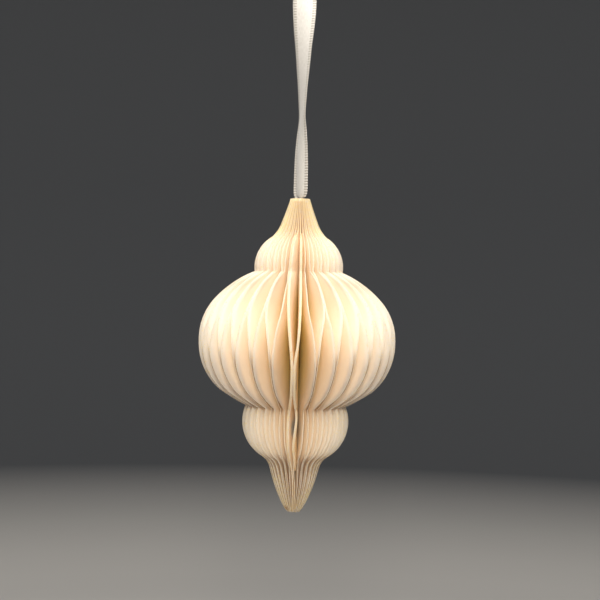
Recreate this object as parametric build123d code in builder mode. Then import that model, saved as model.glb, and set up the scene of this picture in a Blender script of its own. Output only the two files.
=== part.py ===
from build123d import *
import math
import os

# A fold-out paper ornament. A fan of paper leaves, glued in pairs, stands round a narrow hollow core,
# and two stiff covers end the fan. Opened right round, the covers meet at the front (-Y) and magnets
# hold them. The origin is the inside of the ribbon loop's top, where a hook carries it. +Z is up.

# Driving dimensions, in millimetres and degrees
DROP = 115.0                # top of the paper body below the hook
HEIGHT = 140.4              # paper body, bottom tip to flat top
PAIRS_PER_SIDE = 15         # glued pairs of leaves between the back pair and each cover
LEAF_THICKNESS = 0.2
LEAF_PITCH = 0.22           # from one leaf to the other in a pair
PAIR_PITCH = 0.45           # from pair to pair when the fan is folded flat
COVER_THICKNESS = 0.8
COVER_INNER_RADIUS = 9.0    # a cover stops short of the top cone and the bottom tip
COVER_HALF_GAP = 0.05       # each cover's face to the seam plane
MAGNET_RADIUS = 4.0
MAGNET_THICKNESS = 0.7
MAGNET_PLACES = [(31.5, 60.5), (15.5, 39.0)]   # radius, height above the bottom tip
POCKET_CLEARANCE = 0.05
RIBBON_WIDTH = 10.0
RIBBON_THICKNESS = 0.4
TAIL_WIDTH = 3.4            # ribbon gathered to pass down the core
TAIL_DEPTH = 1.8
TAIL_LENGTH = 32.0
SWIVEL_DEPTH = 2.0          # joint between loop and tail, below the body's top
TAPER_LENGTH = 10.0         # the loop narrows to the tail's width over this height
HOOK_BEND = 4.1             # centre line round the hook

PAIR_STEP = 180.0 / (PAIRS_PER_SIDE + 1)
INNER_RADIUS = PAIR_PITCH / (2 * math.sin(math.radians(PAIR_STEP / 2)))
BODY_TOP = -DROP
BODY_BOTTOM = BODY_TOP - HEIGHT
SWIVEL_Z = BODY_TOP - SWIVEL_DEPTH

# The leaf's outline, as radius and height above the bottom tip. It starts at the tip and goes up the
# rim: tip cone, neck, bowl, large ball, dome, top cone. Each arc is a middle point and an end point.
TIP = (2.9, 0.0)
RIM_ARCS = [
    ((4.6, 2.4), (6.6, 6.3)),           # rounded tip
    ((9.2, 12.9), (11.1, 19.4)),        # fluted cone
    ((12.2, 22.2), (14.8, 24.8)),       # neck
    ((22.2, 33.0), (22.5, 47.5)),       # bowl, up to the corner under the ball
    ((28.6, 50.8), (34.4, 54.5)),       # underside of the ball
    ((41.5, 63.7), (44.1, 76.0)),       # ball below its middle
    ((42.3, 86.9), (38.2, 94.1)),       # ball above its middle
    ((30.5, 101.4), (19.8, 107.5)),     # shoulder, to the corner under the dome
    ((18.8, 115.5), (12.2, 123.2)),     # dome
    ((9.5, 126.7), (8.0, 130.1)),       # neck of the top cone
    ((6.1, 135.2), (4.4, HEIGHT)),      # top cone
]

# The loop's centre line, as (Y, Z): up the front from the core, round the hook, down the back.
LOOP_ROUTE = [
    (-0.7, SWIVEL_Z),
    (-2.0, -107.0),
    (-2.7, -88.0),
    (-3.4, -50.0),
    (-4.2, 0.2),
    (4.2, 0.2),
    (3.2, -52.0),
    (2.5, -90.0),
    (2.0, -107.0),
    (0.7, SWIVEL_Z),
]

os.makedirs("parts", exist_ok=True)


def bend_radii(points):
    """Radius for each corner of a route: 0.45 of the shorter run over the tangent of half the turn."""
    radii = []
    for before, corner, after in zip(points, points[1:], points[2:]):
        arriving = Vector(*corner) - Vector(*before)
        leaving = Vector(*after) - Vector(*corner)
        half_turn = math.radians(arriving.get_angle(leaving) / 2)
        radii.append(0.45 * min(arriving.length, leaving.length) / math.tan(half_turn))
    return radii


def radial_plane(azimuth, offset=0.0):
    """Upright plane through the core at an azimuth from +X. Local x is the radius, local y is up."""
    angle = math.radians(azimuth)
    outward = Vector(math.cos(angle), math.sin(angle), 0)
    normal = outward.cross(Vector(0, 0, 1))
    origin = Vector(0, 0, BODY_BOTTOM) + normal * offset
    return Plane(origin=origin, x_dir=outward, z_dir=normal)


# The outline of a leaf: bottom edge, rim arcs, flat top and core edge
with BuildLine() as outline:
    core_bottom = (INNER_RADIUS, TIP[1])
    core_top = (INNER_RADIUS, HEIGHT)
    Line(core_bottom, TIP)
    point = TIP
    for middle, end in RIM_ARCS:
        ThreePointArc(point, middle, end)
        point = end
    Line(point, core_top)
    Line(core_top, core_bottom)

# Glued pairs of thin leaves, numbered from the back (+Y) of the fan round to the covers at the front
pair_places = [("back_leaf_pair", 90.0)]
for side, turn in (("left", 1), ("right", -1)):
    for number in range(1, PAIRS_PER_SIDE + 1):
        pair_places.append((f"{side}_leaf_pair_{number:02d}", 90 + turn * number * PAIR_STEP))

for label, azimuth in pair_places:
    with BuildPart() as pair:
        for side_of_pair in (-1, 1):
            with BuildSketch(radial_plane(azimuth, side_of_pair * LEAF_PITCH / 2)):
                add(outline.line)
                make_face()
            extrude(amount=LEAF_THICKNESS / 2, both=True)
    pair.part.label = label
    export_step(pair.part, f"parts/{label}.step")

# Stiff covers, face to face at the seam, with a pocket through each for every magnet
cover_offset = COVER_HALF_GAP + COVER_THICKNESS / 2
for side, turn in (("left", 1), ("right", -1)):
    seam_side = radial_plane(-90, turn * cover_offset)
    with BuildPart() as cover:
        with BuildSketch(seam_side):
            add(outline.line)
            make_face()
            with Locations((COVER_INNER_RADIUS, 0)):
                Rectangle(RIBBON_WIDTH * 10, HEIGHT, align=(Align.MIN, Align.MIN), mode=Mode.INTERSECT)
            with Locations(*MAGNET_PLACES):
                Circle(MAGNET_RADIUS + POCKET_CLEARANCE, mode=Mode.SUBTRACT)
        extrude(amount=COVER_THICKNESS / 2, both=True)
    cover.part.label = f"{side}_cover"
    export_step(cover.part, f"parts/{side}_cover.step")

    with BuildPart() as magnets:
        with BuildSketch(seam_side):
            with Locations(*MAGNET_PLACES):
                Circle(MAGNET_RADIUS)
        extrude(amount=MAGNET_THICKNESS / 2, both=True)
    magnets.part.label = f"{side}_magnets"
    export_step(magnets.part, f"parts/{side}_magnets.step")

# Ribbon loop: a flat band round the hook, narrowed where it enters the core
radii = bend_radii(LOOP_ROUTE)
hook_corners = (3, 4)
for corner in hook_corners:
    radii[corner] = HOOK_BEND
with BuildPart() as loop:
    with BuildSketch(Plane.YZ):
        with BuildLine() as route:
            FilletPolyline(*LOOP_ROUTE, radius=radii)
        trace(line_width=RIBBON_THICKNESS)
    extrude(amount=RIBBON_WIDTH / 2, both=True)
    half_wide = RIBBON_WIDTH / 2
    half_narrow = TAIL_WIDTH / 2
    above_hook = 1.0
    with BuildSketch(Plane.XZ):
        with BuildLine():
            Polyline(
                (half_narrow, SWIVEL_Z),
                (half_narrow, BODY_TOP),
                (half_wide, BODY_TOP + TAPER_LENGTH),
                (half_wide, above_hook),
                (-half_wide, above_hook),
                (-half_wide, BODY_TOP + TAPER_LENGTH),
                (-half_narrow, BODY_TOP),
                (-half_narrow, SWIVEL_Z),
                close=True,
            )
        make_face()
    extrude(amount=RIBBON_WIDTH, both=True, mode=Mode.INTERSECT)
loop.part.label = "ribbon_loop"
export_step(loop.part, "parts/ribbon_loop.step")
route_length = sum(edge.length for edge in route.edges())
section = RIBBON_WIDTH * RIBBON_THICKNESS
print("route length", round(route_length, 1), "uncut volume", round(route_length * section))
print("bend radii", [round(radius) for radius in radii])

# Ribbon tail: both ends of the ribbon gathered together and glued down the core
with BuildPart() as tail:
    with BuildSketch(Plane.XY.offset(SWIVEL_Z)):
        RectangleRounded(TAIL_WIDTH, TAIL_DEPTH, TAIL_DEPTH / 3)
    extrude(amount=-TAIL_LENGTH)
tail.part.label = "ribbon_tail"
export_step(tail.part, "parts/ribbon_tail.step")
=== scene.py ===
import math

import bpy
import numpy as np
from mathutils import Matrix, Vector


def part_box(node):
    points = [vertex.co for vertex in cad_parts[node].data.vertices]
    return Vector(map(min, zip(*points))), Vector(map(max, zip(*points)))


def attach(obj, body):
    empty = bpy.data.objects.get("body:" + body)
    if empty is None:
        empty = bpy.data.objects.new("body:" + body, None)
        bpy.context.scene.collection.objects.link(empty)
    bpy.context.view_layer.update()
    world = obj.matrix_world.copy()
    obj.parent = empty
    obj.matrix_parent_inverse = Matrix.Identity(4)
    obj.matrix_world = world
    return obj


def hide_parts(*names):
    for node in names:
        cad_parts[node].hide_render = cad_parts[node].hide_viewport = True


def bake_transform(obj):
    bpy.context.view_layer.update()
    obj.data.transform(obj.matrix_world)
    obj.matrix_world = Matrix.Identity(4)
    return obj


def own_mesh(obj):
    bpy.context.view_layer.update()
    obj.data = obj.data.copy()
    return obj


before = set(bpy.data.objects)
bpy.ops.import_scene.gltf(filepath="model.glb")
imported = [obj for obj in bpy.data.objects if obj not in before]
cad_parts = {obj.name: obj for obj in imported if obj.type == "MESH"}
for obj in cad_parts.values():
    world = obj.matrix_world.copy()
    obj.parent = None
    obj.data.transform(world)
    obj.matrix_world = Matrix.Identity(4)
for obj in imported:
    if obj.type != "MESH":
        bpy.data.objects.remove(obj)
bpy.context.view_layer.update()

# Driving sizes, in metres. The frame's origin is the inside of the ribbon loop's top, +Z is up and
# the seam of the paper fan faces -Y.
MM = 0.001
PAIRS_PER_SIDE = 15
PAIR_STEP = math.pi / (PAIRS_PER_SIDE + 1)
LEAF_THICKNESS = 0.2 * MM
COVER_THICKNESS = 0.8 * MM
COVER_HALF_GAP = 0.05 * MM
COVER_INNER_RADIUS = 9.0 * MM
RIBBON_WIDTH = 10.0 * MM
RIBBON_THICKNESS = 0.4 * MM
MAGNET_RADIUS = 4.0 * MM
MAGNET_THICKNESS = 0.82 * MM        # just proud of the board on both sides
MAGNET_BEVEL = 0.12 * MM
MAGNET_PLACES = [(31.5, 60.5), (15.5, 39.0)]    # radius, height above the tip, in millimetres

pair_low, pair_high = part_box("back_leaf_pair")
BODY_BOTTOM = pair_low[2]
BODY_TOP = pair_high[2]
CORE_RADIUS = pair_low[1]
BODY_HEIGHT = BODY_TOP - BODY_BOTTOM

# The leaf's outline in millimetres, as radius and height above the bottom tip: arcs given by a
# middle point and an end point, from the tip up.
TIP = (2.9, 0.0)
RIM_ARCS = [
    ((4.6, 2.4), (6.6, 6.3)),           # rounded tip
    ((9.2, 12.9), (11.1, 19.4)),        # fluted cone
    ((12.2, 22.2), (14.8, 24.8)),       # neck
    ((22.2, 33.0), (22.5, 47.5)),       # bowl, up to the corner under the ball
    ((28.6, 50.8), (34.4, 54.5)),       # underside of the ball
    ((41.5, 63.7), (44.1, 76.0)),       # ball below its middle
    ((42.3, 86.9), (38.2, 94.1)),       # ball above its middle
    ((30.5, 101.4), (19.8, 107.5)),     # shoulder, to the corner under the dome
    ((18.8, 115.5), (12.2, 123.2)),     # dome
    ((9.5, 126.7), (8.0, 130.1)),       # neck of the top cone
    ((6.1, 135.2), (4.4, BODY_HEIGHT / MM)),    # top cone
]
RIM_SPACING = 1.5           # from one row of a sheet's points to the next, in millimetres

# How far the two leaves of a glued pair stand apart, by height above the tip in millimetres:
# 0 where they touch each other, 1 where each touches the next pair's leaf, 0.5 evenly spread.
PAIR_OPENING = [
    (0.0, 0.34),
    (10.0, 0.34),
    (16.0, 0.50),
    (20.0, 0.82),
    (24.0, 0.94),
    (28.0, 0.66),
    (32.0, 0.54),
    (38.0, 0.50),
    (44.0, 0.42),
    (48.0, 0.24),
    (53.0, 0.0),
    (63.0, 0.0),
    (70.0, 0.12),
    (77.0, 0.30),
    (83.0, 0.55),
    (88.0, 0.83),
    (94.0, 0.98),
    (102.0, 0.98),
    (108.0, 0.68),
    (114.0, 0.50),
    (124.0, 0.50),
    (140.4, 0.50),
]

# Where the seam side of each cover's rim stands, in millimetres left (or right) of the seam plane,
# by height above the tip. Where the seam is shut, both covers lean a little to the left.
LEFT_SEAM = [
    (0.0, 0.14),
    (6.0, 0.30),
    (12.0, 0.45),
    (19.0, 0.90),
    (25.0, 1.90),
    (31.0, 2.60),
    (38.0, 2.75),
    (44.0, 2.60),
    (49.0, 2.10),
    (55.0, 1.50),
    (66.0, 1.35),
    (71.0, 1.65),
    (76.0, 2.15),
    (82.0, 2.80),
    (88.0, 3.25),
    (95.0, 3.55),
    (104.0, 3.50),
    (112.0, 2.90),
    (118.0, 2.30),
    (122.0, 1.60),
    (126.0, 0.60),
    (130.0, 0.39),
    (140.4, 0.21),
]
RIGHT_SEAM = [
    (0.0, 0.14),
    (6.0, 0.30),
    (12.0, 0.30),
    (19.0, -0.30),
    (25.0, -0.60),
    (31.0, -1.15),
    (38.0, -0.55),
    (44.0, 0.00),
    (49.0, -0.60),
    (55.0, -1.20),
    (66.0, -1.25),
    (71.0, -0.80),
    (76.0, -0.10),
    (82.0, 0.40),
    (88.0, 0.65),
    (95.0, 0.75),
    (104.0, 0.65),
    (112.0, 0.60),
    (118.0, 0.50),
    (126.0, 0.40),
    (130.0, 0.36),
    (140.4, 0.21),
]

# A cover board is left out of the tip cone and the top cone. How far its edge stands back from the
# leaves' rims, in millimetres, and how much of its thickness the next leaf keeps clear of, by height
BOARD_SETBACK = [(14.0, 3.5), (24.0, 0.2), (28.0, 0.0), (116.0, 0.0), (121.0, 0.2), (127.0, 2.5)]
BOARD_SHARE = [(15.0, 0.0), (24.0, 1.0), (121.0, 1.0), (126.0, 0.0)]

# The opened seam pushes the leaves on the left round a little: degrees by degrees from the seam,
# and the share of them by height above the tip
LEFT_DRIFT = [(0.0, 2.6), (15.0, 3.0), (60.0, 3.4), (120.0, 1.6), (180.0, 0.0)]
DRIFT_SHARE = [(10.0, 0.1), (24.0, 1.0), (118.0, 1.0), (128.0, 0.1)]

# How unevenly the pairs stand round the fan, in degrees either way, by height: bunched on the tip
PAIR_JITTER = [(0.0, 2.6), (13.0, 2.4), (21.0, 1.2), (29.0, 0.3), (120.0, 0.3), (127.0, 1.6)]

# How strong the painted shade is in the brown line inside a pair's rim, by height: most where its
# two leaves touch at the rim
PAINTED_CREVICE_SHADE = [(0.0, 0.8), (14.0, 0.75), (23.0, 0.7), (29.0, 0.1), (44.0, 0.1), (49.0, 0.9),
             (63.0, 0.9), (70.0, 0.45), (76.0, 0.1), (90.0, 0.05), (96.0, 0.1), (102.0, 0.3),
             (106.0, 0.1), (120.0, 0.1), (128.0, 0.3)]

# How thickly gold dust lies on the leaves' rims, by height above the tip
GILDING = [(0.0, 0.6), (8.0, 0.45), (20.0, 0.2), (60.0, 0.12), (110.0, 0.12), (120.0, 0.25),
           (126.0, 0.7), (140.4, 0.8)]

# The ribbon's centre line, as (Y, Z) in millimetres, the same route as the solid band's
LOOP_ROUTE = [
    (-0.7, -117.0),
    (-2.0, -107.0),
    (-2.7, -88.0),
    (-3.4, -50.0),
    (-4.2, 0.2),
    (4.2, 0.2),
    (3.2, -52.0),
    (2.5, -90.0),
    (2.0, -107.0),
    (0.7, -117.0),
]


# ---------------------------------------------------------------- small helpers

def curve_through(table):
    """Smooth function through a table's (place, value) entries that never overshoots them."""
    places, values = np.array(table, float).T
    steps = np.diff(places)
    slopes = np.diff(values) / steps
    before, after = slopes[:-1], slopes[1:]
    tangents = np.zeros(len(places))
    same_way = before * after > 0
    near = (2 * steps[1:] + steps[:-1])[same_way]
    far = (steps[1:] + 2 * steps[:-1])[same_way]
    inner = np.zeros(len(before))
    inner[same_way] = (near + far) / (near / before[same_way] + far / after[same_way])
    tangents[1:-1] = inner

    def value(place):
        place = min(max(place, places[0]), places[-1])
        n = min(int(np.searchsorted(places, place, side="right")) - 1, len(steps) - 1)
        t = (place - places[n]) / steps[n]
        return float(
            values[n] * (1 + 2 * t) * (1 - t) ** 2
            + values[n + 1] * t * t * (3 - 2 * t)
            + steps[n] * (tangents[n] * t * (1 - t) ** 2 - tangents[n + 1] * t * t * (1 - t))
        )

    return value


def arc_points(start, middle, end):
    """Points on the arc from start through middle to end, start left out."""
    a, b, c = (np.array(p, float) for p in (start, middle, end))
    rows = 2 * np.array([b - a, c - a])
    squares = np.array([b @ b - a @ a, c @ c - a @ a])
    centre = np.linalg.solve(rows, squares)
    first, last = (math.atan2(*(p - centre)[::-1]) for p in (a, c))
    turn = (last - first + math.pi) % (2 * math.pi) - math.pi
    radius = np.linalg.norm(a - centre)
    count = max(2, round(abs(turn) * radius / RIM_SPACING))
    angles = [first + turn * n / count for n in range(1, count + 1)]
    return [centre + radius * np.array((math.cos(t), math.sin(t))) for t in angles]


def rim_line():
    """The rim as (radius, height) in millimetres, from the tip up."""
    line = [np.array(TIP)]
    for middle, end in RIM_ARCS:
        line += arc_points(line[-1], middle, end)
    return line


def new_object(name, vertices, faces):
    """A smooth-shaded mesh in the scene."""
    mesh = bpy.data.meshes.new(name)
    mesh.from_pydata([tuple(v) for v in vertices], [], faces)
    mesh.polygons.foreach_set("use_smooth", [True] * len(mesh.polygons))
    mesh.update()
    piece = bpy.data.objects.new(name, mesh)
    bpy.context.scene.collection.objects.link(piece)
    return piece


def add_attribute(mesh, name, values):
    """A number for each vertex, for the materials to read."""
    attribute = mesh.attributes.new(name, "FLOAT", "POINT")
    attribute.data.foreach_set("value", values)


# ---------------------------------------------------------------- camera

CAMERA_DISTANCE = 0.54
CAMERA_HEIGHT = BODY_BOTTOM + 95.0 * MM
CAMERA_SIDE = 0.9 * MM
CAMERA_ROLL = math.radians(1.3)
FOCAL_LENGTH, SENSOR_WIDTH = 72, 36     # in the camera's own millimetres

camera_data = bpy.data.cameras.new("camera")
camera_data.lens = FOCAL_LENGTH
camera_data.sensor_width = SENSOR_WIDTH
camera = bpy.data.objects.new("camera", camera_data)
camera.location = (CAMERA_SIDE, -CAMERA_DISTANCE, CAMERA_HEIGHT)
camera.rotation_euler = (math.pi / 2, -CAMERA_ROLL, 0)
bpy.context.scene.collection.objects.link(camera)
bpy.context.scene.camera = camera


# ---------------------------------------------------------------- ribbon

# Turn of the ribbon about its own line, in degrees, by height above the paper body in millimetres
RIBBON_TURN = [(0.0, 61.0), (12.0, 61.0), (21.0, 63.0), (29.0, 69.0), (37.0, 77.5), (44.0, 73.0),
               (53.0, 65.0), (60.0, 57.0), (68.0, 47.0), (79.0, 25.0), (90.0, 4.0)]
# Share of its full width, where it is gathered to enter the core
RIBBON_GATHER = [(-3.0, 0.2), (0.2, 0.22), (0.8, 0.62), (2.0, 0.88), (4.5, 1.0)]
# How far its middle bows out of flat, in millimetres
RIBBON_BOW = [(0.0, 1.3), (10.0, 1.2), (28.0, 0.7), (50.0, 0.25), (120.0, 0.2)]
RIBBON_COLUMNS = 27         # points across one face
RIB_PITCH = 1.15 * MM       # of the small loops along both selvages
SELVAGE = 0.72              # where a selvage begins, as a share of the half width
WEB = 0.5                   # thickness between the selvages, as a share of the full thickness
SELVAGE_SWELL = 0.4         # how much thicker a selvage is, as the same share
EDGE_REACH = 0.03           # of a selvage past the half width, as a share of it
RIB_REACH = 0.05            # of its loops


def ribbon_path():
    """Points of the smooth line that the route's control points make."""
    data = bpy.data.curves.new("ribbon_route", "CURVE")
    data.dimensions = "3D"
    data.resolution_u = 80
    spline = data.splines.new("NURBS")
    spline.points.add(len(LOOP_ROUTE) - 1)
    for point, (y, z) in zip(spline.points, LOOP_ROUTE):
        point.co = (0, y * MM, z * MM, 1)
    spline.order_u = 3
    spline.use_endpoint_u = True
    route = bpy.data.objects.new("ribbon_route", data)
    mesh = bpy.data.meshes.new_from_object(route)
    points = [v.co.copy() for v in mesh.vertices]
    bpy.data.objects.remove(route)
    bpy.data.meshes.remove(mesh)
    return points


def even_steps(points, step):
    """The same line with points a step apart."""
    points = np.array(points)
    along = np.r_[0, np.cumsum(np.linalg.norm(np.diff(points, axis=0), axis=1))]
    places = np.linspace(0, along[-1], round(along[-1] / step) + 1)
    return np.array([np.interp(places, along, points[:, k]) for k in range(3)]).T, places


def ribbon_ring(centre, width_way, normal, half, bow, rib, across):
    """Points round the ribbon's section. rib runs from -1 between two selvage loops to 1 on one."""
    top, bottom = [], []
    for s in across:
        edge = max(0.0, (abs(s) - SELVAGE) / (1 - SELVAGE))
        swell = SELVAGE_SWELL * math.sin(math.pi * edge) * (1 + 0.5 * rib)
        thick = RIBBON_THICKNESS / 2 * (WEB + swell)
        if abs(s) == 1:
            thick *= 0.5
        side = half * (s + np.sign(s) * edge * (EDGE_REACH + RIB_REACH * rib))
        middle = centre + width_way * side + normal * bow * (0.5 - s * s)
        top.append(middle + normal * thick)
        bottom.append(middle - normal * thick)
    return top + bottom[::-1]


def make_ribbon():
    """The ribbon loop, twisted and gathered, with a ribbed selvage on both sides."""
    path, along = even_steps(ribbon_path(), RIB_PITCH / 4)
    turn_at = curve_through(RIBBON_TURN)
    gather_at = curve_through(RIBBON_GATHER)
    bow_at = curve_through(RIBBON_BOW)
    tangents = np.gradient(path, axis=0)
    tangents /= np.linalg.norm(tangents, axis=1)[:, None]
    across = np.sin(np.linspace(-1, 1, RIBBON_COLUMNS) * math.pi / 2)
    rings = []
    for centre, tangent, distance in zip(path, tangents, along):
        height = (centre[2] - BODY_TOP) / MM
        turn = math.radians(turn_at(height))
        flat_normal = np.cross((1.0, 0, 0), tangent)
        # the same turn about +Z on both legs, so that they stay parallel
        upward = 1 if tangent[2] >= 0 else -1
        width_way = math.cos(turn) * np.array((1.0, 0, 0)) + upward * math.sin(turn) * flat_normal
        normal = np.cross(width_way, tangent)
        half = RIBBON_WIDTH / 2 * gather_at(height)
        bow = bow_at(height) * MM * half / (RIBBON_WIDTH / 2)
        rib = math.cos(2 * math.pi * distance / RIB_PITCH)
        rings.append(ribbon_ring(centre, width_way, normal, half, bow, rib, across))
    size = len(rings[0])
    faces = []
    for n in range(len(rings) - 1):
        for k in range(size):
            a, b = n * size + k, n * size + (k + 1) % size
            faces.append((a, b, b + size, a + size))
    last = (len(rings) - 1) * size
    for start in (0, last):
        for k in range(len(across) - 1):
            quad = [start + k, start + k + 1, start + size - 2 - k, start + size - 1 - k]
            faces.append(tuple(quad if start else quad[::-1]))
    ribbon = new_object("satin_ribbon", [v for ring in rings for v in ring], faces)
    add_attribute(ribbon.data, "across", np.tile(np.r_[across, across[::-1]], len(rings)))
    add_attribute(ribbon.data, "along", np.repeat(along / RIB_PITCH, size))
    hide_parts("ribbon_loop")
    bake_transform(ribbon)
    return ribbon


# ---------------------------------------------------------------- paper leaves

RIM_ROWS = rim_line()
LEAF_COLUMNS = np.linspace(0, 1, 12) ** 0.8     # shares of the width, closer together by the rim
JOINED_HAIRLINE = 0.32 * MM     # clear gap at the rim between two leaves that are glued further in
TOUCHING = 0.02 * MM            # clear gap between two sheets that touch
SWAY_HEIGHT = 1.4               # how far up or down the sway moves a pair's opening, in millimetres
SEAM_BOTTOM = 12.0 * MM         # the end leaves touch each other nearer the core than this
BOARD_CLEAR_FROM = 6.0 * MM     # radius from which the next leaf starts to keep clear of a board
LEAST_EDGE = 0.1 * MM           # narrower rows of a sheet are left out

opening_at = curve_through(PAIR_OPENING)
seam_at = {"left": curve_through(LEFT_SEAM), "right": curve_through(RIGHT_SEAM)}
drift_at = curve_through(LEFT_DRIFT)
drift_share_at = curve_through(DRIFT_SHARE)
crevice_shade_at = curve_through(PAINTED_CREVICE_SHADE)
jitter_at = curve_through(PAIR_JITTER)
gilding_at = curve_through(GILDING)
setback_at = curve_through(BOARD_SETBACK)
board_at = curve_through(BOARD_SHARE)
chance = np.random.default_rng(7)


def sway(azimuth, height):
    """Slow unevenness round the fan and up it, from -1 to 1. Neighbours get nearly the same."""
    return (
        0.5 * math.sin(3 * azimuth + 0.7 + height / 31)
        + 0.3 * math.sin(5 * azimuth + 2.1 - height / 17)
        + 0.2 * math.sin(11 * azimuth + 4.0 + height / 9)
    )


def cover_face(side, radii, rim, height):
    """From the seam plane to the seam side of a cover, in metres, away from the other cover. Near
    the core the covers meet in the plane."""
    closed = min(SEAM_BOTTOM, 0.6 * rim)
    return seam_at[side](height) * MM * np.maximum(radii - closed, 0) / (rim - closed)


def sheet_grid(azimuth, inner, offsets_at, setback=None):
    """Rows of points on a sheet that stands near the upright plane at an azimuth, with the plane's
    normal. offsets_at(radii, rim, height) is how far along the normal each point stands."""
    outward = np.array((math.cos(azimuth), math.sin(azimuth), 0))
    normal = np.cross(outward, (0, 0, 1))
    grid = []
    for rim, height in RIM_ROWS:
        edge = rim * MM - (setback(height) * MM if setback else 0)
        if edge < inner + LEAST_EDGE:
            continue
        radii = inner + (edge - inner) * LEAF_COLUMNS
        offsets = offsets_at(radii, rim * MM, height)
        reach = np.sqrt(np.maximum(radii**2 - offsets**2, 0))
        level = np.array((0, 0, BODY_BOTTOM + height * MM))
        grid.append(reach[:, None] * outward + offsets[:, None] * normal + level)
    return grid, normal


def sheet_object(name, grid, thickness, materials, turned=False):
    """A sheet that faces along its plane's normal, or the other way when turned. A second material
    is for its back."""
    columns = len(grid[0])
    faces = []
    for n in range(len(grid) - 1):
        for k in range(columns - 1):
            a = n * columns + k
            face = (a, a + 1, a + columns + 1, a + columns)
            faces.append(face[::-1] if turned else face)
    sheet = new_object(name, np.concatenate(grid), faces)
    mesh = sheet.data
    for material in materials:
        mesh.materials.append(material)
    # how far in from the rim a point is, in millimetres, how much gold dust its rim has, and how
    # strong the painted shade line inside its pair's rim is
    heights = [(row[0][2] - BODY_BOTTOM) / MM for row in grid]
    for label, rows in (
        ("rim_depth", [np.linalg.norm(row - row[-1], axis=1) / MM for row in grid]),
        ("gold_dust", [np.full(columns, gilding_at(height)) for height in heights]),
        ("crevice_shade_strength", [np.full(columns, crevice_shade_at(height)) for height in heights]),
    ):
        add_attribute(mesh, label, np.concatenate(rows))
    solid = sheet.modifiers.new("thickness", "SOLIDIFY")
    solid.thickness = thickness
    solid.offset = 0
    solid.material_offset = len(materials) - 1
    return sheet


def make_pair(node, body, azimuth, side, from_seam, materials):
    """The two leaves of a glued pair. from_seam is the pair's angle from the seam."""
    away = 1 if side == "left" else -1      # along the normal, away from the seam
    left_drift = math.radians(drift_at(math.degrees(from_seam))) if side == "left" else 0.0
    beside_cover = from_seam < 1.5 * PAIR_STEP
    jitter = math.radians(chance.uniform(0 if beside_cover else -1, 1))
    for letter, far in (("a", -1), ("b", 1)):

        def offsets_at(radii, rim, height):
            share = opening_at(height + SWAY_HEIGHT * sway(azimuth, height))
            drift = left_drift * drift_share_at(height) + jitter * jitter_at(height)
            room = radii * math.sin(PAIR_STEP / 2)
            closest = LEAF_THICKNESS / 2 + TOUCHING / 2 + JOINED_HAIRLINE / 2 * (radii / rim) ** 3
            closest = np.minimum(closest, room / 2)
            offsets = radii * math.sin(drift) + far * (closest + (room - 2 * closest) * share)
            if beside_cover and far < 0:
                ramp = (radii - BOARD_CLEAR_FROM) / (COVER_INNER_RADIUS - BOARD_CLEAR_FROM)
                board = COVER_THICKNESS * np.clip(ramp, 0, 1) * board_at(height)
                sheets = 1.5 * LEAF_THICKNESS + 2 * TOUCHING
                clear = cover_face(side, radii, rim, height) + board + sheets
                least = radii * np.sin(np.arcsin(clear / radii) - from_seam)
                offsets = np.maximum(offsets, least)
            return away * offsets

        grid, normal = sheet_grid(azimuth, CORE_RADIUS, offsets_at)
        name = node.replace("_pair", "") + "_" + letter
        # the backs of the two leaves face each other
        leaf = sheet_object(name, grid, LEAF_THICKNESS, materials, turned=far * away < 0)
        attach(leaf, body)
        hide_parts(node)
        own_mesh(leaf)


def make_cover(side, paper, card, nickel):
    """A cover board with its two magnets, and the fan's end leaf that is glued to its seam side."""
    away = 1 if side == "left" else -1
    leaf_middle = (LEAF_THICKNESS + TOUCHING) / 2
    board_middle = LEAF_THICKNESS + TOUCHING + COVER_THICKNESS / 2

    def leaf_offsets(radii, rim, height):
        return away * (cover_face(side, radii, rim, height) + leaf_middle)

    def board_offsets(radii, rim, height):
        return away * (cover_face(side, radii, rim, height) + board_middle)

    leaf_grid, normal = sheet_grid(-math.pi / 2, CORE_RADIUS, leaf_offsets)
    leaf = sheet_object(f"{side}_end_leaf", leaf_grid, LEAF_THICKNESS, (paper,))
    board_grid, normal = sheet_grid(-math.pi / 2, COVER_INNER_RADIUS, board_offsets, setback_at)
    board = sheet_object(f"{side}_cover_board", board_grid, COVER_THICKNESS, (card,))
    magnets = magnet_discs(side, board_offsets, normal, nickel)
    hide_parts(f"{side}_cover")
    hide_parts(f"{side}_cover")
    folded_board = COVER_HALF_GAP + COVER_THICKNESS / 2
    folded_leaf = COVER_HALF_GAP - LEAF_THICKNESS / 2
    for piece, place in ((leaf, folded_leaf), (board, folded_board), (magnets, folded_board)):
        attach(piece, f"{side}_cover")
        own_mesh(piece)


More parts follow.
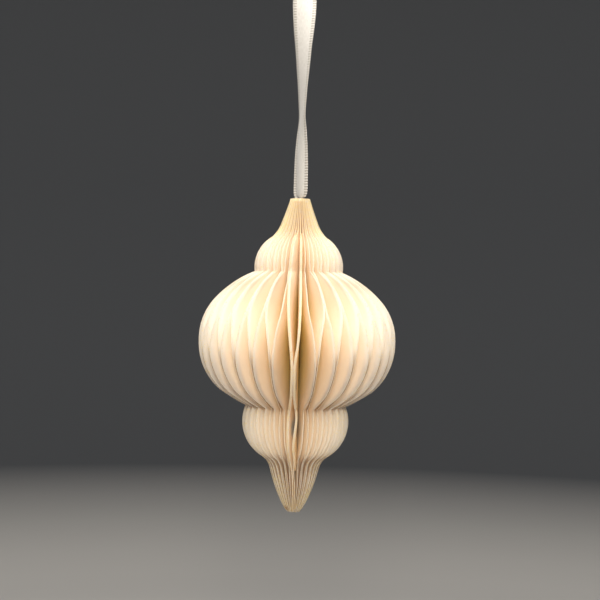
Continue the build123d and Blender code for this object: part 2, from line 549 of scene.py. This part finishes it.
def magnet_discs(side, offsets_at, normal, nickel):
    """A cover's magnets, which follow its board's curve."""
    rim_heights = np.array([height for _, height in RIM_ROWS])
    rim_radii = np.array([rim for rim, _ in RIM_ROWS])
    spokes = 32
    rings = (0.0, 0.55, 0.9, 1.0)       # shares of the magnet's radius
    vertices, faces = [], []
    for radius, height in MAGNET_PLACES:
        start = len(vertices)
        for ring in rings:
            for n in range(spokes if ring else 1):
                angle = 2 * math.pi * n / spokes
                r = (radius + MAGNET_RADIUS / MM * ring * math.cos(angle)) * MM
                h = height + MAGNET_RADIUS / MM * ring * math.sin(angle)
                rim = float(np.interp(h, rim_heights, rim_radii)) * MM
                offset = float(offsets_at(np.array([r]), rim, h)[0])
                vertices.append(np.array((0, -r, BODY_BOTTOM + h * MM)) + offset * normal)
        for n in range(spokes):
            after = (n + 1) % spokes
            faces.append((start, start + 1 + n, start + 1 + after))
            for ring in range(len(rings) - 2):
                low = start + 1 + ring * spokes
                high = low + spokes
                faces.append((low + n, high + n, high + after, low + after))
    discs = new_object(f"{side}_magnet_discs", vertices, faces)
    solid = discs.modifiers.new("thickness", "SOLIDIFY")
    solid.thickness = MAGNET_THICKNESS
    solid.offset = 0
    bevel = discs.modifiers.new("rounded edge", "BEVEL")
    bevel.width = MAGNET_BEVEL
    bevel.segments = 2
    bevel.limit_method = "ANGLE"
    discs.data.materials.append(nickel)
    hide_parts(f"{side}_magnets")
    return discs


# ---------------------------------------------------------------- materials

PALE = (0.988, 0.94, 0.862, 1)
PAINTED_DEEP_SHADE = (1.0, 0.94, 0.62, 1)       # painted shade: the golden colour that light bounced from leaf to leaf takes deep between the leaves
PAINTED_CREVICE_COLOUR = (0.42, 0.24, 0.10, 1)       # painted shade in the narrow gap inside a pair's rim, a brown line
CARD = (0.985, 0.90, 0.72, 1)
GOLD = (1.0, 0.84, 0.46, 1)
TRANSLUCENT_SHARE = 0.55            # how much of the paper's light is scattered through the sheet
PAINTED_SHADE_DEPTHS = (9.0, 36.0)           # millimetres in from the rim between which the painted golden shade comes in
PAINTED_CREVICE_WIDTH = 1.6                    # width of the painted brown shade line, in millimetres, before it fades
DUST_DEPTHS = (0.2, 1.2)            # millimetres in from the rim between which gold dust fades
FIBRE_SCALE = 900                   # features in a metre of the paper's mottling
GRAIN_SCALE = 2600                  # gold grains in a metre
DUST_METAL = 0.3                    # how metallic a gold grain is
PAPER_ROUGHNESS, DUST_ROUGHNESS = 0.75, 0.38
FIBRE_DARK, FIBRE_LIGHT = (0.99, 0.98, 0.965, 1), (1, 1, 1, 1)
FIBRE_CONTRAST = (0.3, 0.7)         # places on the noise of the two

# A glue smudge on the front left of the tip: its middle, full inside the first radius and gone
# past the second
SMUDGE = (-3.2 * MM, -2.6 * MM, BODY_BOTTOM + 1.7 * MM)
SMUDGE_RADII = (0.6 * MM, 2.1 * MM)
SMUDGE_SHARE = 0.85
SMUDGE_COLOUR = (0.40, 0.12, 0.05, 1)

SATIN_DARK, SATIN_LIGHT = (0.34, 0.31, 0.27, 1), (0.76, 0.735, 0.70, 1)
SATIN_MIDDLE, SATIN_SPREAD = 0.7, 0.9       # where the threads lie on the dark to light ramp
THREADS_ACROSS = 26.0       # how fine the threads' noise is from the ribbon's middle to its edge
THREADS_ALONG = 0.7         # and over one loop of the selvage
LOOP_GAP_PAINTED_SHADE = 0.75           # how much darker the painted shade makes the gaps between the selvage's loops

NICKEL = (0.62, 0.61, 0.58, 1)
NICKEL_ROUGHNESS = (0.22, 0.42)     # from bright to worn
WEAR_SCALE = 600                    # features in a metre of the wear


class Graph:
    """A new material's nodes. What its methods take is another node's output or a plain value."""

    def __init__(self, name):
        self.material = bpy.data.materials.new(name)
        self.material.use_nodes = True
        self.nodes = self.material.node_tree.nodes
        self.links = self.material.node_tree.links
        self.shader = self.nodes["Principled BSDF"]

    def node(self, kind, output, inputs, **settings):
        """Add a node with its settings, fill its inputs and return one of its outputs."""
        node = self.nodes.new(kind)
        for name, setting in settings.items():
            setattr(node, name, setting)
        for name, value in inputs.items():
            self.put(node.inputs[name], value)
        return node.outputs[output]

    def put(self, socket, value):
        """Link another node's output to a socket, or set the socket's own value."""
        if isinstance(value, bpy.types.NodeSocket):
            self.links.new(value, socket)
        else:
            socket.default_value = value

    def shade(self, **inputs):
        """Fill inputs of the main shader. An underscore stands for a space."""
        for name, value in inputs.items():
            self.put(self.shader.inputs[name.replace("_", " ")], value)

    def attribute(self, name):
        return self.node("ShaderNodeAttribute", "Fac", {}, attribute_name=name)

    def object_place(self):
        """Where a point is on its object, which stays the same when the object moves."""
        return self.node("ShaderNodeTexCoord", "Object", {})

    def maths(self, operation, *values):
        inputs = dict(enumerate(values))
        return self.node("ShaderNodeMath", "Value", inputs, operation=operation)

    def noise(self, place, scale, detail):
        inputs = {"Vector": place, "Scale": scale, "Detail": detail}
        return self.node("ShaderNodeTexNoise", "Fac", inputs)

    def map_range(self, value, start, end, interpolation="LINEAR"):
        """Carry the values of one range, given by its two ends, to another."""
        inputs = {"Value": value}
        inputs.update(zip(("From Min", "From Max", "To Min", "To Max"), (*start, *end)))
        settings = {"interpolation_type": interpolation}
        return self.node("ShaderNodeMapRange", "Result", inputs, **settings)

    def mix(self, share, first, second, blend="MIX"):
        """Two colours mixed, with the second one's share."""
        node = self.nodes.new("ShaderNodeMix")
        node.data_type = "RGBA"
        node.blend_type = blend
        for name, value in (("Factor", share), ("A", first), ("B", second)):
            self.put(node.inputs[name], value)
        return node.outputs["Result"]

    def ramp(self, value, first, last, places=(0.0, 1.0)):
        """Colours from first to last between two places."""
        node = self.nodes.new("ShaderNodeValToRGB")
        for element, place, colour in zip(node.color_ramp.elements, places, (first, last)):
            element.position = place
            element.color = colour
        self.put(node.inputs["Fac"], value)
        return node.outputs["Color"]

    def bump(self, height, strength, distance):
        inputs = {"Height": height, "Strength": strength, "Distance": distance}
        return self.node("ShaderNodeBump", "Normal", inputs)


def paper_material(name, pale, crevice_colour=None):
    """Cream art paper with painted golden shade deep between the leaves, for light bounced from leaf
    to leaf, gold dust along the rim and, given a third colour, a painted brown shade line just
    inside the rim."""
    graph = Graph(name)
    place = graph.object_place()
    depth = graph.attribute("rim_depth")

    # painted shade: deeper in from the rim the paper turns golden, as light bounced between the
    # leaves would make it
    painted_deep_share = graph.map_range(depth, PAINTED_SHADE_DEPTHS, (0, 1), "SMOOTHSTEP")
    tone = graph.mix(painted_deep_share, pale, PAINTED_DEEP_SHADE)
    if crevice_colour:
        # painted shade: a brown line just inside the rim, on the faces of a pair that face each
        # other, where the narrow gap between them is dark
        line = graph.map_range(depth, (PAINTED_CREVICE_WIDTH, 2 * PAINTED_CREVICE_WIDTH), (1, 0))
        tone = graph.mix(graph.maths("MULTIPLY", graph.attribute("crevice_shade_strength"), line), tone, crevice_colour)
    fibres = graph.noise(place, scale=FIBRE_SCALE, detail=4)
    mottle = graph.ramp(fibres, FIBRE_DARK, FIBRE_LIGHT, FIBRE_CONTRAST)
    sheet = graph.mix(1.0, tone, mottle, "MULTIPLY")

    smudge_inputs = {0: place, 1: SMUDGE}
    from_smudge = graph.node("ShaderNodeVectorMath", "Value", smudge_inputs, operation="DISTANCE")
    smudge = graph.map_range(from_smudge, SMUDGE_RADII, (SMUDGE_SHARE, 0), "SMOOTHSTEP")
    sheet = graph.mix(smudge, sheet, SMUDGE_COLOUR)

    # a grain of gold where a cell's random number is under the amount of dust
    grain_inputs = {"Vector": place, "Scale": GRAIN_SCALE}
    grains = graph.node("ShaderNodeTexVoronoi", "Color", grain_inputs)
    number = graph.node("ShaderNodeSeparateColor", "Red", {"Color": grains})
    near_rim = graph.map_range(depth, DUST_DEPTHS, (1, 0))
    amount = graph.maths("MULTIPLY", graph.attribute("gold_dust"), near_rim)
    grain = graph.maths("LESS_THAN", number, amount)

    graph.shade(
        Base_Color=graph.mix(grain, sheet, GOLD),
        Metallic=graph.maths("MULTIPLY", grain, DUST_METAL),
        Roughness=graph.map_range(grain, (0, 1), (PAPER_ROUGHNESS, DUST_ROUGHNESS)),
        Normal=graph.bump(fibres, strength=0.2, distance=0.05 * MM),
    )
    through = graph.node("ShaderNodeBsdfTranslucent", "BSDF", {"Color": sheet})
    blend_inputs = {0: TRANSLUCENT_SHARE, 1: graph.shader.outputs["BSDF"], 2: through}
    surface = graph.node("ShaderNodeMixShader", "Shader", blend_inputs)
    graph.put(graph.nodes["Material Output"].inputs["Surface"], surface)
    return graph.material


def satin_material():
    """Off-white satin with fine threads along it, a ribbed selvage on both sides and painted shade
    in the gaps between its loops.
    """
    graph = Graph("satin")
    across = graph.attribute("across")
    along = graph.attribute("along")
    threads = {
        "X": graph.maths("MULTIPLY", across, THREADS_ACROSS),
        "Y": graph.maths("MULTIPLY", along, THREADS_ALONG),
    }
    place = graph.node("ShaderNodeCombineXYZ", "Vector", threads)
    weave = graph.noise(place, scale=1.0, detail=3)
    uneven = graph.maths("MULTIPLY", graph.maths("SUBTRACT", weave, 0.5), SATIN_SPREAD)

    # 1 between two loops of the selvage, where shade is painted, 0 on one and on the satin
    selvage = graph.maths("GREATER_THAN", graph.maths("ABSOLUTE", across), SELVAGE)
    wave = graph.maths("COSINE", graph.maths("MULTIPLY", along, 2 * math.pi))
    loops = graph.maths("ADD", graph.maths("MULTIPLY", wave, 0.5), 0.5)
    painted_loop_gap = graph.maths("MULTIPLY", selvage, graph.maths("SUBTRACT", 1.0, loops))

    shade = graph.maths("SUBTRACT", SATIN_MIDDLE, graph.maths("MULTIPLY", painted_loop_gap, LOOP_GAP_PAINTED_SHADE))
    shade = graph.maths("ADD", shade, uneven)
    graph.shade(
        Base_Color=graph.ramp(shade, SATIN_DARK, SATIN_LIGHT),
        Normal=graph.bump(shade, strength=0.35, distance=0.08 * MM),
        Roughness=0.45,
        Sheen_Weight=0.3,
        Sheen_Roughness=0.4,
    )
    return graph.material


def nickel_material():
    """Bright plating, a little unevenly worn."""
    graph = Graph("nickel")
    wear = graph.noise(graph.object_place(), scale=WEAR_SCALE, detail=2)
    roughness = graph.map_range(wear, (0, 1), NICKEL_ROUGHNESS)
    graph.shade(Metallic=1.0, Base_Color=NICKEL, Roughness=roughness)
    return graph.material


# ---------------------------------------------------------------- studio

FLOOR_LEVEL = BODY_BOTTOM - 0.3
WALL_RADIUS = 1.7
WALL_BEND = 0.6             # radius of the curve between floor and wall
WALL_TOP = 2.4              # above the floor
GREY_FROM = 0.12            # above the floor, where the pale floor has faded to the wall's grey
FLOOR_TONE, WALL_TONE = (0.60, 0.59, 0.58, 1), (0.069, 0.074, 0.084, 1)
STUDIO_SIDES, BEND_STEPS = 96, 12
BALL_MIDDLE = (0, 0, BODY_BOTTOM + 80 * MM)


def studio_material():
    """Pale on the floor, grey up the wall."""
    graph = Graph("studio")
    place = graph.node("ShaderNodeNewGeometry", "Position", {})
    level = graph.node("ShaderNodeSeparateXYZ", "Z", {"Vector": place})
    rise = graph.map_range(level, (FLOOR_LEVEL, FLOOR_LEVEL + GREY_FROM), (0, 1))
    graph.shade(Base_Color=graph.ramp(rise, FLOOR_TONE, WALL_TONE), Roughness=0.9)
    return graph.material


def make_studio():
    """Pale floor that curves up into a plain grey wall all round."""
    profile = [(0.0, 0.0)]
    for n in range(BEND_STEPS + 1):
        angle = math.pi / 2 * n / BEND_STEPS
        radius = WALL_RADIUS - WALL_BEND + WALL_BEND * math.sin(angle)
        profile.append((radius, WALL_BEND - WALL_BEND * math.cos(angle)))
    profile.append((WALL_RADIUS, WALL_TOP))
    vertices, faces = [], []
    for radius, level in profile:
        for n in range(STUDIO_SIDES):
            angle = 2 * math.pi * n / STUDIO_SIDES
            point = (radius * math.cos(angle), radius * math.sin(angle), FLOOR_LEVEL + level)
            vertices.append(point)
    for row in range(len(profile) - 1):
        for n in range(STUDIO_SIDES):
            a = row * STUDIO_SIDES + n
            b = row * STUDIO_SIDES + (n + 1) % STUDIO_SIDES
            faces.append((a, b, b + STUDIO_SIDES, a + STUDIO_SIDES))
    stage = new_object("studio", vertices, faces)
    stage.data.materials.append(studio_material())


def soft_light(name, place, size, power, colour):
    """Round area light that shines on the middle of the large ball."""
    data = bpy.data.lights.new(name, "AREA")
    data.shape = "DISK"
    data.size = size
    data.energy = power
    data.color = colour
    light = bpy.data.objects.new(name, data)
    light.location = place
    aim = Vector(BALL_MIDDLE) - Vector(place)
    light.rotation_euler = aim.to_track_quat("-Z", "Y").to_euler()
    bpy.context.scene.collection.objects.link(light)


def make_light():
    """A large lamp overhead, a small one in front and a dim warm room."""
    overhead = (0.0, -0.35, BALL_MIDDLE[2] + 0.85)
    in_front = (0.0, -1.35, BALL_MIDDLE[2] + 0.40)
    soft_light("key", overhead, size=1.2, power=18.4, colour=(1.0, 0.98, 0.95))
    soft_light("front", in_front, size=0.3, power=12.8, colour=(1.0, 0.94, 0.82))
    scene = bpy.context.scene
    world = bpy.data.worlds.new("world")
    world.use_nodes = True
    background = world.node_tree.nodes["Background"]
    background.inputs["Color"].default_value = (1, 0.91, 0.77, 1)
    background.inputs["Strength"].default_value = 0.4
    scene.world = world
    scene.view_settings.view_transform = "Standard"
    # light goes many times from leaf to leaf before it leaves the fan
    scene.cycles.diffuse_bounces = 16
    scene.cycles.transmission_bounces = 24
    scene.cycles.max_bounces = 24


# ---------------------------------------------------------------- assembly

satin = satin_material()
nickel = nickel_material()
paper = paper_material("cream paper", PALE)
# for the leaves' backs, with painted shade in the narrow gap inside each pair's rim
paper_with_crevice_shade = paper_material("cream paper with painted crevice shade", PALE, PAINTED_CREVICE_COLOUR)
card = paper_material("cover card", CARD)

ribbon = make_ribbon()
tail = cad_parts["ribbon_tail"]
tail.data.materials.clear()
for piece in (ribbon, tail):
    piece.data.materials.append(satin)

make_pair("back_leaf_pair", "spine", math.pi / 2, "right", math.pi, (paper, paper_with_crevice_shade))
for side, turn in (("left", 1), ("right", -1)):
    for number in range(1, PAIRS_PER_SIDE + 1):
        node = f"{side}_leaf_pair_{number:02d}"
        from_back = number * PAIR_STEP
        azimuth = math.pi / 2 + turn * from_back
        make_pair(node, node, azimuth, side, math.pi - from_back, (paper, paper_with_crevice_shade))
    make_cover(side, paper, card, nickel)

make_studio()
make_light()
